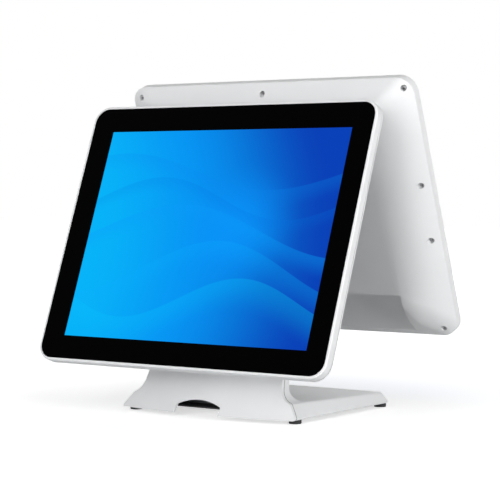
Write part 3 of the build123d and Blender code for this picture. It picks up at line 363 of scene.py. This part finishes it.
def islands(node):
    """The corners of each loose part of a node."""
    bm = bmesh.new()
    bm.from_mesh(frame["nodes"][node].data)
    bmesh.ops.remove_doubles(bm, verts=bm.verts, dist=SAME_SPOT)
    left, parts = dict.fromkeys(bm.verts), []
    while left:
        front = [left.popitem()[0]]
        part = []
        while front:
            vert = front.pop()
            part.append(vert.co.copy())
            for edge in vert.link_edges:
                other = edge.other_vert(vert)
                if other in left:
                    del left[other]
                    front.append(other)
        parts.append(part)
    bm.free()
    return sorted(parts, key=lambda part: tuple(round(value, 4) for value in part_middle(part)))


def node_span(node, head, axis):
    """How far a node reaches along one of a head's axes, from the glass."""
    reach = [(corner - head.glass).dot(axis) for part in islands(node) for corner in part]
    return min(reach), max(reach)


# ---------------------------- outlines and meshes ----------------------------
def ring_points(radius, count):
    turns = [2 * pi * i / count for i in range(count)]
    return [(radius * cos(turn), radius * sin(turn)) for turn in turns]


def cross_points(reach, half):
    """Outline of a cross recess."""
    points = []
    for turn in range(4):
        for x, y in ((reach, -half), (reach, half), (half, half)):
            for _ in range(turn):
                x, y = -y, x
            points.append((x, y))
    return points


def arc_outline(radius, width, start, end, count=28):
    """A bent strip, as one closed outline."""
    turns = [start + (end - start) * i / count for i in range(count + 1)]
    outer, inner = radius + width / 2, radius - width / 2
    return ([(outer * cos(turn), outer * sin(turn)) for turn in turns]
            + [(inner * cos(turn), inner * sin(turn)) for turn in reversed(turns)])


def rounded_outline(width, height, radius, count=6):
    """A rectangle with rounded corners."""
    points = []
    for x, y, start in ((1, 1, 0.0), (-1, 1, 0.5), (-1, -1, 1.0), (1, -1, 1.5)):
        for i in range(count + 1):
            turn = pi * (start + 0.5 * i / count)
            points.append((x * (width / 2 - radius) + radius * cos(turn),
                           y * (height / 2 - radius) + radius * sin(turn)))
    return points


def poly_curve(dimensions, lines, closed):
    """A curve along straight lines of 3-D points."""
    data = bpy.data.curves.new("maker", "CURVE")
    data.dimensions = dimensions
    for points in lines:
        spline = data.splines.new("POLY")
        spline.points.add(len(points) - 1)
        for point, place in zip(spline.points, points):
            point.co = (*place, 1)
        spline.use_cyclic_u = closed
    return data


def curve_mesh(data):
    """The mesh that a curve makes. The curve is removed."""
    maker = bpy.data.objects.new("maker", data)
    mesh = bpy.data.meshes.new_from_object(maker)
    bpy.data.objects.remove(maker)
    bpy.data.curves.remove(data)
    return mesh


def flat_mesh(outlines, thickness, edge):
    """A flat plate from closed outlines, inner ones as holes, with softened edges."""
    data = poly_curve("2D", [[(x, y, 0) for x, y in points] for points in outlines], True)
    data.fill_mode = "BOTH"
    data.extrude = thickness / 2 - edge
    data.bevel_depth = edge
    data.bevel_resolution = 1
    data.offset = -edge
    return curve_mesh(data)


def add_block(bm, place, size, edge, segments):
    """A block with softened edges, its middle at a place."""
    made = bmesh.ops.create_cube(bm, size=1.0)["verts"]
    bmesh.ops.transform(bm, matrix=place @ Matrix.Diagonal((*size, 1)), verts=made)
    edges = list(dict.fromkeys(item for vert in made for item in vert.link_edges))
    bmesh.ops.bevel(bm, geom=edges, offset=edge, segments=segments, affect="EDGES")


def join_rows(bm, rows):
    """Faces round a tube, from each row of corners to the next."""
    for low, high in zip(rows, rows[1:]):
        for i in range(len(low)):
            j = (i + 1) % len(low)
            bm.faces.new((low[i], low[j], high[j], high[i]))


def add_piece(name, mesh, material, body):
    """One finished piece of one material that moves with a body."""
    for polygon in mesh.polygons:
        polygon.use_smooth = False
    piece = bpy.data.objects.new(name, mesh)
    bpy.context.scene.collection.objects.link(piece)
    give(piece, material)
    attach(piece, body)


def add_built(name, bm, material, body):
    """Turns a bmesh into a finished piece."""
    mesh = bpy.data.meshes.new(name)
    bm.to_mesh(mesh)
    bm.free()
    add_piece(name, mesh, material, body)


def gather(name, mesh, places, material, body):
    """Copies of one mesh at many places, joined into one piece."""
    bm = bmesh.new()
    for place in places:
        before = len(bm.verts)
        bm.from_mesh(mesh)
        bm.verts.ensure_lookup_table()
        bmesh.ops.transform(bm, matrix=place, verts=bm.verts[before:])
    add_built(name, bm, material, body)


# ------------------------------ driver recesses ------------------------------
CROSS = cross_points(0.0015, 0.00036)
SMALL_HEX = ring_points(0.0016, 6)
# node, body, where the heads face, head diameter, hole, how deep it is
DRIVEN = []
for side, head in HEADS.items():
    DRIVEN.append((f"{side}_cover_screws", head.body, -head.out, 0.0050, CROSS, 0.0003))
    DRIVEN.append((f"{side}_bracket_screws", head.body, -head.out, 0.0070, SMALL_HEX, 0.0004))
DRIVEN.append(("plate_screws", "stand", Vector((0, 0, -1)), 0.0054, CROSS, 0.0003))
DRIVEN.append(("carrier_bolts", "stand", Vector((0, 0, 1)), 0.0066, SMALL_HEX, 0.0004))
CAP_SIDES = 40
CAP_EDGE, FLOOR_EDGE = 0.3, 0.04        # softened edges, as parts of the cap's height
FLOOR_HEIGHT = 0.2                      # the hole's floor, as a part of it
FLOOR_OVERLAP = 1.04                    # the floor's size by the hole's


def drive_recesses(node, body, direction, diameter, hole, cap):
    """Driver recesses in the heads of a node's screws: a cap with the hole cut
    through it on each head, and the hole's floor, painted near-black as the shade deep in it."""
    turn = direction.to_track_quat("Z", "X").to_matrix().to_4x4()
    tops = []
    for part in islands(node):
        middle = Vector(part_middle(part))
        reach = max((point - middle).dot(direction) for point in part)
        tops.append(Matrix.Translation(middle + reach * direction) @ turn)
    wide = [(x * FLOOR_OVERLAP, y * FLOOR_OVERLAP) for x, y in hole]
    ring = flat_mesh([ring_points(diameter / 2, CAP_SIDES), hole], cap, cap * CAP_EDGE)
    floor = flat_mesh([wide], cap * FLOOR_HEIGHT, cap * FLOOR_EDGE)
    # the recess floors are painted near-black as shade
    for name, mesh, height, material in (("heads", ring, cap, SCREW),
                                         ("recesses", floor, cap * FLOOR_HEIGHT, RECESS_PAINTED_SHADE)):
        lift = Matrix.Translation((0, 0, height / 2))
        gather(f"{node}_{name}", mesh, [top @ lift for top in tops], material, body)


for row in DRIVEN:
    drive_recesses(*row)

# -------------------------------- stand's seam -------------------------------
SEAM_WIDTH = 0.0005
FLANK_FACING = 0.5                      # a flank's normal has at least this X
BACK_FACING = 0.3                       # a back face's has this Y, and less X


def seam_lines():
    """A hairline of painted shadow where the stand's front panel meets the casting, on both flanks."""
    mesh = frame["nodes"]["stand_front_panel"].data
    normals = {}
    for polygon in mesh.polygons:
        for index in polygon.vertices:
            key = tuple(round(value, 6) for value in mesh.vertices[index].co)
            normals.setdefault(key, []).append(polygon.normal.copy())
    for sign, name in ((1, "right"), (-1, "left")):
        points = []
        for key, around in normals.items():
            flank = any(normal.x * sign > FLANK_FACING for normal in around)
            back = any(abs(normal.x) < BACK_FACING < normal.y for normal in around)
            if flank and back and key[0] * sign > OUTLET_REACH:
                points.append(key)
        points.sort(key=lambda point: point[2])
        data = poly_curve("3D", [points], False)
        data.bevel_depth = SEAM_WIDTH / 2
        data.bevel_resolution = 2
        add_piece(f"stand_seam_{name}", curve_mesh(data), SHADOW_LINE, "stand")


seam_lines()

# ---------------------------- parts on the boards ----------------------------
BOARD_FINISHES = {"chips": CHIP, "leads": SCREW, "connectors": CONNECTOR,
                  "cans": ALUMINIUM, "contacts": GOLD, "modules": BOARD}
BLOCK_EDGE, BLOCK_SEGMENTS = 0.0003, 2
CAN_SIDES = 24
CAN_PROFILE = ((0.0, 0.5), (0.12, 0.5), (0.18, 0.47), (0.9, 0.5), (1.0, 0.44))
CHIP_HEIGHT, CHIP_RISE, CHIP_EDGE = 0.0014, 0.0001, 0.00025
LEAD_LENGTH, LEAD_HEIGHT, LEAD_EDGE = 0.0010, 0.0004, 0.00008
LEAD_OUT = 0.0004                       # a lead's middle beyond its package
PLUG_DEPTH, PLUG_HEIGHT = 0.0050, 0.0042
PIN_PITCH, PIN_OUT = 0.002, 0.0034
PIN_SIZE, PIN_EDGE = (0.0008, 0.0022, 0.0004), 0.00008
SMALL_CAN = (0.0063, 0.0070)            # diameter and height


class Board:
    """Gathers the small parts soldered to a head's board, by material."""

    def __init__(self, head, node):
        self.head = head
        self.back = -node_span(node, head, head.out)[0]
        self.meshes = {}

    def part(self, kind, u, v, size, rise=0.0, edge=BLOCK_EDGE):
        """A block with softened edges, its foot on the board or above it."""
        bm = self.meshes.setdefault(kind, bmesh.new())
        place = self.head.matrix(u, v, self.back + rise + size[2] / 2, outward=False)
        add_block(bm, place, size, edge, BLOCK_SEGMENTS)

    def can(self, u, v, diameter, height):
        """A round part with a rolled shoulder."""
        bm = self.meshes.setdefault("cans", bmesh.new())
        place = self.head.matrix(u, v, self.back, outward=False)
        rows = []
        for level, reach in CAN_PROFILE:
            rows.append([bm.verts.new(place @ Vector((x, y, level * height)))
                         for x, y in ring_points(reach * diameter, CAN_SIDES)])
        join_rows(bm, rows)
        bm.faces.new(rows[-1])
        bm.faces.new(rows[0][::-1])

    def chip(self, u, v, width, length, pins):
        """A flat package with leads along two sides."""
        self.part("chips", u, v, (width, length, CHIP_HEIGHT), rise=CHIP_RISE, edge=CHIP_EDGE)
        pitch = length / pins
        for i in range(pins):
            at = v + (i - (pins - 1) / 2) * pitch
            for end in (-1, 1):
                self.part("leads", u + end * (width / 2 + LEAD_OUT), at,
                          (LEAD_LENGTH, pitch * 0.5, LEAD_HEIGHT), edge=LEAD_EDGE)

    def plug(self, u, v, width):
        """A wire connector with a row of pins on its upper side."""
        self.part("connectors", u, v, (width, PLUG_DEPTH, PLUG_HEIGHT))
        for i in range(int(width / PIN_PITCH) - 1):
            self.part("contacts", u - width / 2 + PIN_PITCH * (i + 1), v + PIN_OUT,
                      PIN_SIZE, edge=PIN_EDGE)

    def finish(self):
        for kind, bm in self.meshes.items():
            add_built(f"{self.head.side}_board_{kind}", bm, BOARD_FINISHES[kind], self.head.body)


# u and v run across and up the glass from its middle
POWER_STAGE_U, POWER_STAGE_PITCH, POWER_STAGE_COUNT = -0.068, 0.0095, 4
CHOKE_V, CHOKE_SIZE, CHOKE_EDGE = 0.030, (0.0068, 0.0068, 0.0040), 0.0006
POWER_CAN_V = 0.040
# u, v, width, length, pins
MAIN_CHIPS = ((-0.062, -0.045, 0.016, 0.016, 14), (-0.060, -0.012, 0.010, 0.014, 10),
              (-0.024, -0.050, 0.009, 0.009, 8), (0.012, -0.052, 0.011, 0.013, 10))
DISPLAY_CHIPS = ((0.010, -0.045, 0.016, 0.016, 14), (-0.020, -0.050, 0.008, 0.010, 8))
# memory module: its socket, its board and its chips stand one above the other
MEMORY_V = -0.012
MEMORY_SOCKET_U, MEMORY_SOCKET_SIZE = 0.0415, (0.0050, 0.070, 0.0048)
MODULE_U, MODULE_SIZE = 0.0580, (0.0300, 0.0676, 0.0011)
MODULE_RISE, MODULE_EDGE = 0.0026, 0.0001
MEMORY_CHIP_U, MEMORY_CHIP_SIZE, MEMORY_CHIP_RISE = 0.0600, (0.0140, 0.0092, 0.0010), 0.0037
MEMORY_CHIP_START, MEMORY_CHIP_PITCH, MEMORY_CHIP_COUNT = -0.036, 0.016, 4
FINGER_U, FINGER_START, FINGER_PITCH, FINGER_COUNT = 0.0452, -0.0443, 0.0015, 44
FINGER_SIZE, FINGER_RISE, FINGER_EDGE = (0.0020, 0.0007, 0.0002), 0.0036, 0.00003
CLOCK_CELL = (-0.048, 0.008, 0.0200, 0.0034)    # u, v, diameter, height
# u, v, width
MAIN_PLUGS = ((-0.030, 0.057, 0.026), (0.004, 0.057, 0.020), (0.034, 0.057, 0.014))
DISPLAY_PLUGS = ((-0.010, -0.021, 0.026), (0.030, -0.021, 0.014))
PROCESSOR_V, RING_REACH, RING_COUNT = 0.008, (0.0432, 0.04214), 14
RING_SIZE, RING_EDGE = (0.0016, 0.0009, 0.0008), 0.0001
DISPLAY_CAN_U, DISPLAY_CAN_V = -0.046, -0.030
DISPLAY_CAN_PITCH, DISPLAY_CAN_COUNT = 0.009, 3


def fit_main_board():
    board = Board(HEADS["front"], "main_board")
    # power stage: chokes and cans in two rows
    for i in range(POWER_STAGE_COUNT):
        u = POWER_STAGE_U + POWER_STAGE_PITCH * i
        board.part("chips", u, CHOKE_V, CHOKE_SIZE, edge=CHOKE_EDGE)
        board.can(u, POWER_CAN_V, *SMALL_CAN)
    for row in MAIN_CHIPS:
        board.chip(*row)
    # memory module in its socket, with its chips and edge contacts
    board.part("connectors", MEMORY_SOCKET_U, MEMORY_V, MEMORY_SOCKET_SIZE)
    board.part("modules", MODULE_U, MEMORY_V, MODULE_SIZE, rise=MODULE_RISE, edge=MODULE_EDGE)
    for i in range(MEMORY_CHIP_COUNT):
        board.part("chips", MEMORY_CHIP_U, MEMORY_CHIP_START + MEMORY_CHIP_PITCH * i,
                   MEMORY_CHIP_SIZE, rise=MEMORY_CHIP_RISE)
    for i in range(FINGER_COUNT):
        board.part("contacts", FINGER_U, FINGER_START + FINGER_PITCH * i,
                   FINGER_SIZE, rise=FINGER_RISE, edge=FINGER_EDGE)
    # clock cell, flat cable and wire connectors along the top edge
    board.can(*CLOCK_CELL)
    for row in MAIN_PLUGS:
        board.plug(*row)
    # decoupling parts round the processor
    for x, y in ring_points(1.0, RING_COUNT):
        board.part("leads", RING_REACH[0] * x, PROCESSOR_V + RING_REACH[1] * y,
                   RING_SIZE, edge=RING_EDGE)
    board.finish()


def fit_display_board():
    board = Board(HEADS["rear"], "display_board")
    for row in DISPLAY_CHIPS:
        board.chip(*row)
    for i in range(DISPLAY_CAN_COUNT):
        board.can(DISPLAY_CAN_U + DISPLAY_CAN_PITCH * i, DISPLAY_CAN_V, *SMALL_CAN)
    for row in DISPLAY_PLUGS:
        board.plug(*row)
    board.finish()


fit_main_board()
fit_display_board()

# ------------------------------ socket linings -------------------------------
# sockets by outer width: mouth width and height, tongue off centre, contacts across it
SOCKETS = {
    0.0164: (0.0142, 0.0048, 0.0, [0.0010 * i - 0.0045 for i in range(10)]),
    0.0138: (0.0124, 0.0050, 0.0011, [-0.0035, -0.0010, 0.0010, 0.0035]),
    0.0166: (0.0120, 0.0082, 0.0034, [0.00102 * i - 0.00357 for i in range(8)]),
}
SAME_WIDTH = 0.00005
TONGUE = 0.0014
# the lining, by inset from the mouth's walls and way in from the mouth
LINING = ((0.00002, 0.0), (0.00025, 0.0002), (0.00025, 0.0090), (0.00002, 0.0090))
CONTACT_SIZE, CONTACT_EDGE = (0.0005, 0.0060, 0.00008), 0.00002
CONTACT_IN, CONTACT_PROUD = 0.0066, 0.00003     # its middle, in and off the tongue


def line_sockets(head):
    """Sheet metal inside each socket's mouth and gilt contacts on its tongue."""
    liners, contacts = bmesh.new(), bmesh.new()
    for part in islands(f"{head.side}_port_sockets"):
        from_glass = [corner - head.glass for corner in part]
        u, v, out = ([offset.dot(axis) for offset in from_glass]
                     for axis in (head.across, head.up, head.out))
        found = [SOCKETS[size] for size in SOCKETS if abs(size - (max(u) - min(u))) < SAME_WIDTH]
        if not found:
            continue
        width, height, off, across = found[0]
        middle, depth, mouth = (max(u) + min(u)) / 2, -(max(out) + min(out)) / 2, min(v)
        # the liner: a short tube with a lip, open at both ends
        rows = []
        for inset, along in LINING:
            w, h = width / 2 - inset, height / 2 - inset
            places = [head.matrix(middle + x * w, mouth + along, depth + y * h).translation
                      for x, y in ((-1, -1), (1, -1), (1, 1), (-1, 1))]
            rows.append([liners.verts.new(place) for place in places])
        join_rows(liners, rows + rows[:1])
        face = depth + off - TONGUE / 2
        for place in across:
            where = head.matrix(middle + place, mouth + CONTACT_IN, face - CONTACT_PROUD)
            add_block(contacts, where, CONTACT_SIZE, CONTACT_EDGE, segments=1)
    for name, bm, material in (("liners", liners, ZINC), ("contacts", contacts, GOLD)):
        bmesh.ops.recalc_face_normals(bm, faces=bm.faces)
        add_built(f"{head.side}_socket_{name}", bm, material, head.body)


for head in HEADS.values():
    line_sockets(head)

# ------------------------------ sign and plates ------------------------------
SIGN_RADIUS, SIGN_STROKE = 0.0021, 0.00045
SIGN_START, SIGN_END = radians(125), radians(415)
SIGN_BAR = (0.0008, 0.0030)             # where the bar starts and ends, up the sign
SIGN_THICKNESS, SIGN_EDGE, SIGN_RISE = 0.0001, 0.00003, 0.00003
PLATE_THICKNESS, PLATE_EDGE = 0.00012, 0.00004
DRIVE_PLATE, DRIVE_PLATE_V = (0.054, 0.070, 0.003), 0.004     # width, height, corners
FOOT_PLATE, FOOT_PLATE_X, FOOT_PLATE_INSET = (0.060, 0.030, 0.002), -0.045, 0.030


def power_sign():
    """The common broken ring and bar, printed proud on the power button."""
    press = next(joint for joint in frame["joints"] if joint["name"] == "power_button_press")
    outward = -Vector(press["axis"]).normalized()
    corners = islands("power_button")[0]
    top = max(corner.dot(outward) for corner in corners)
    face = [corner for corner in corners if corner.dot(outward) > top - SAME_LEVEL]
    middle = sum(face, Vector()) / len(face)
    side = HEADS["front"].up.cross(outward).normalized()
    axes = Matrix((side, outward.cross(side), outward)).transposed().to_4x4()
    place = Matrix.Translation(middle + SIGN_RISE * outward) @ axes
    ring = arc_outline(SIGN_RADIUS, SIGN_STROKE, SIGN_START, SIGN_END)
    half, (low, high) = SIGN_STROKE / 2, SIGN_BAR
    bar = [(-half, low), (half, low), (half, high), (-half, high)]
    mesh = flat_mesh([ring, bar], SIGN_THICKNESS, SIGN_EDGE)
    gather("power_sign", mesh, [place], SIGN_GREY, "power_button")


def bare_plates():
    """Bare rating plates on the drive and under the foot."""
    head = HEADS["front"]
    out = node_span("storage_drive", head, head.out)
    across = node_span("storage_drive", head, head.across)
    depth = PLATE_THICKNESS / 2 - out[0]
    on_drive = head.matrix(sum(across) / 2, DRIVE_PLATE_V, depth, outward=False)
    low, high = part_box("base_plate")
    under = Vector((FOOT_PLATE_X, high[1] - FOOT_PLATE_INSET, low[2] - PLATE_THICKNESS / 2))
    on_foot = Matrix.Translation(under) @ Matrix.Rotation(pi, 4, "X")
    for name, outline, place, body in (("drive_plate", DRIVE_PLATE, on_drive, head.body),
                                       ("foot_plate", FOOT_PLATE, on_foot, "stand")):
        mesh = flat_mesh([rounded_outline(*outline)], PLATE_THICKNESS, PLATE_EDGE)
        gather(name, mesh, [place], LABEL, body)


power_sign()
bare_plates()

# --------------------------- stage, light, camera ----------------------------
CAMERA_AZIMUTH, CAMERA_ELEVATION = radians(35.543), radians(2.112)
CAMERA_DISTANCE, CAMERA_LENS = 1.7909, 130.09
CAMERA_AIM = Vector((0.0596, 0, -0.0155))       # from the front glass's middle
SENSOR_WIDTH, FAR_CLIP = 36.0, 50.0

FLOOR_SIZE, FLOOR_TONE = 14.0, 0.80
# the floor's glow rises from one strength to another between two reaches
GLOW_FROM, GLOW_TO, GLOW_NEAR, GLOW_FAR = 0.10, 0.62, 0.62, 1.0
WORLD_LIGHT = 0.1

LAMP_AIM = Vector((0, 0, 0.15))
# name, place, diameter, watts
LAMPS = (
    ("side", (2.4, -0.35, 0.2), 1.0, 38.5),
    ("front", (0.2, -2.7, 1.0), 1.6, 28.5),
    ("front_low", (0.3, -2.7, 0.45), 1.6, 16.3),
    ("floor_level", (0.2, -1.8, 0.1), 0.5, 3.1),
    ("key", (2.2, -1.6, 1.9), 1.6, 15.0),
    ("back", (-0.8, 2.7, 0.9), 1.6, 9.0),
)


def seen_by_eye(tree):
    """1 for the rays that show this surface: camera, glossy and transmission."""
    path = tree.nodes.new("ShaderNodeLightPath")
    seen = path.outputs["Is Camera Ray"]
    for name in ("Is Glossy Ray", "Is Transmission Ray"):
        most = tree.nodes.new("ShaderNodeMath")
        most.operation = "MAXIMUM"
        tree.links.new(seen, most.inputs[0])
        tree.links.new(path.outputs[name], most.inputs[1])
        seen = most.outputs[0]
    return seen


def make_world():
    """White to the eye, and a dim even light on the object."""
    world = bpy.data.worlds.new("studio")
    world.use_nodes = True
    bpy.context.scene.world = world
    tree = world.node_tree
    background = tree.nodes["Background"]
    background.inputs["Color"].default_value = (1, 1, 1, 1)
    blend = tree.nodes.new("ShaderNodeMapRange")
    blend.inputs["To Min"].default_value = WORLD_LIGHT
    blend.inputs["To Max"].default_value = 1.0
    tree.links.new(seen_by_eye(tree), blend.inputs["Value"])
    tree.links.new(blend.outputs[0], background.inputs["Strength"])


def make_floor():
    """Pale floor that reads white and keeps a faint contact shadow."""
    bpy.ops.mesh.primitive_plane_add(size=FLOOR_SIZE)
    floor = bpy.context.object
    floor.name = "floor"
    g = Graph("pale_floor")
    g.nodes.remove(g.bsdf)
    diffuse = g.nodes.new("ShaderNodeBsdfDiffuse")
    diffuse.inputs["Color"].default_value = (FLOOR_TONE, FLOOR_TONE, FLOOR_TONE, 1)
    glow = g.nodes.new("ShaderNodeEmission")
    glow.inputs["Color"].default_value = (1, 1, 1, 1)
    # white far away; near the object it glows less, so that shadows still show
    reach = g.vector("LENGTH", g.place())
    fade = g.remap(reach, GLOW_FROM, GLOW_TO, GLOW_NEAR, GLOW_FAR, smooth=True)
    g.put(glow.inputs["Strength"], g.math("MULTIPLY", seen_by_eye(g), fade))
    both = g.nodes.new("ShaderNodeAddShader")
    for socket, shader in zip(both.inputs, (diffuse, glow)):
        g.put(socket, shader.outputs[0])
    g.put(g.nodes["Material Output"].inputs["Surface"], both.outputs[0])
    floor.data.materials.append(g.material)


def area_light(name, place, size, watts):
    """Round soft lamp, turned to the middle of the object."""
    data = bpy.data.lights.new(name, "AREA")
    data.shape = "DISK"
    data.size = size
    data.energy = watts
    lamp = bpy.data.objects.new(name, data)
    lamp.location = place
    lamp.rotation_euler = (LAMP_AIM - Vector(place)).to_track_quat("-Z", "Y").to_euler()
    bpy.context.scene.collection.objects.link(lamp)


def make_camera():
    """The photograph's viewpoint."""
    back = Vector((sin(CAMERA_AZIMUTH) * cos(CAMERA_ELEVATION),
                   -cos(CAMERA_AZIMUTH) * cos(CAMERA_ELEVATION), sin(CAMERA_ELEVATION)))
    data = bpy.data.cameras.new("camera")
    data.lens = CAMERA_LENS
    data.sensor_width = SENSOR_WIDTH
    data.clip_end = FAR_CLIP
    camera = bpy.data.objects.new("camera", data)
    camera.location = HEADS["front"].glass + CAMERA_AIM + CAMERA_DISTANCE * back
    camera.rotation_euler = back.to_track_quat("Z", "Y").to_euler()
    bpy.context.scene.collection.objects.link(camera)
    bpy.context.scene.camera = camera


make_world()
make_floor()
for lamp in LAMPS:
    area_light(*lamp)
make_camera()
bpy.context.scene.view_settings.view_transform = "Standard"
